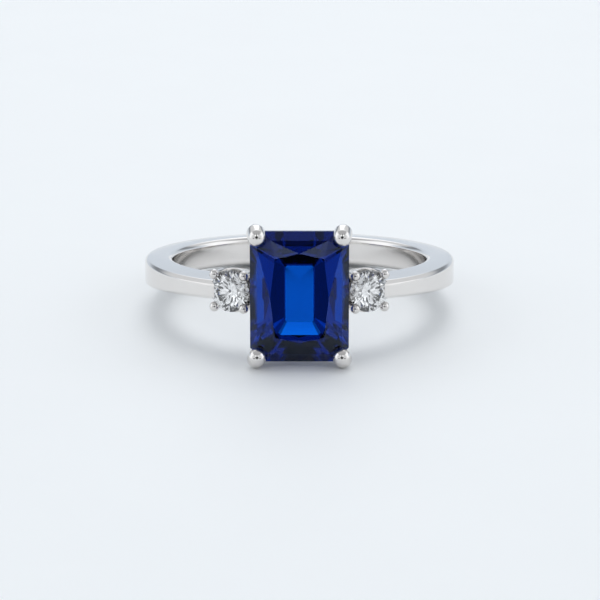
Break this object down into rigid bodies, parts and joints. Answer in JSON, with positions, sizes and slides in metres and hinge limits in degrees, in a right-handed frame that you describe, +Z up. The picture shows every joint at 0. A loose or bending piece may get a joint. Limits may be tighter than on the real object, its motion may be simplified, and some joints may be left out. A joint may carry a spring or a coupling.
{
  "type": "three-stone ring",
  "caption": "Finger ring with a polished white-metal band, a large rectangular blue stone in claws and a small round clear stone in claws on each shoulder.",
  "frame": {"origin": "centre of the finger hole, halfway across the band's width", "axes": "-Y the way the centre stone faces, +X to the right for someone looking at that stone, +Z up as the ring lies on its side; the finger axis leans from +Z towards +Y by 9.4 degrees"},
  "size_m": [0.02, 0.0224, 0.0088],
  "materials": {
    "polished_metal": "mirror-polished white metal",
    "blue_stone": "polished facets, deep blue",
    "clear_stone": "polished facets, colourless"
  },
  "bodies": {
    "root": {"ring_metal": "polished_metal", "centre_stone": "blue_stone", "side_stone_left": "clear_stone", "side_stone_right": "clear_stone"}
  },
  "joints": []
}
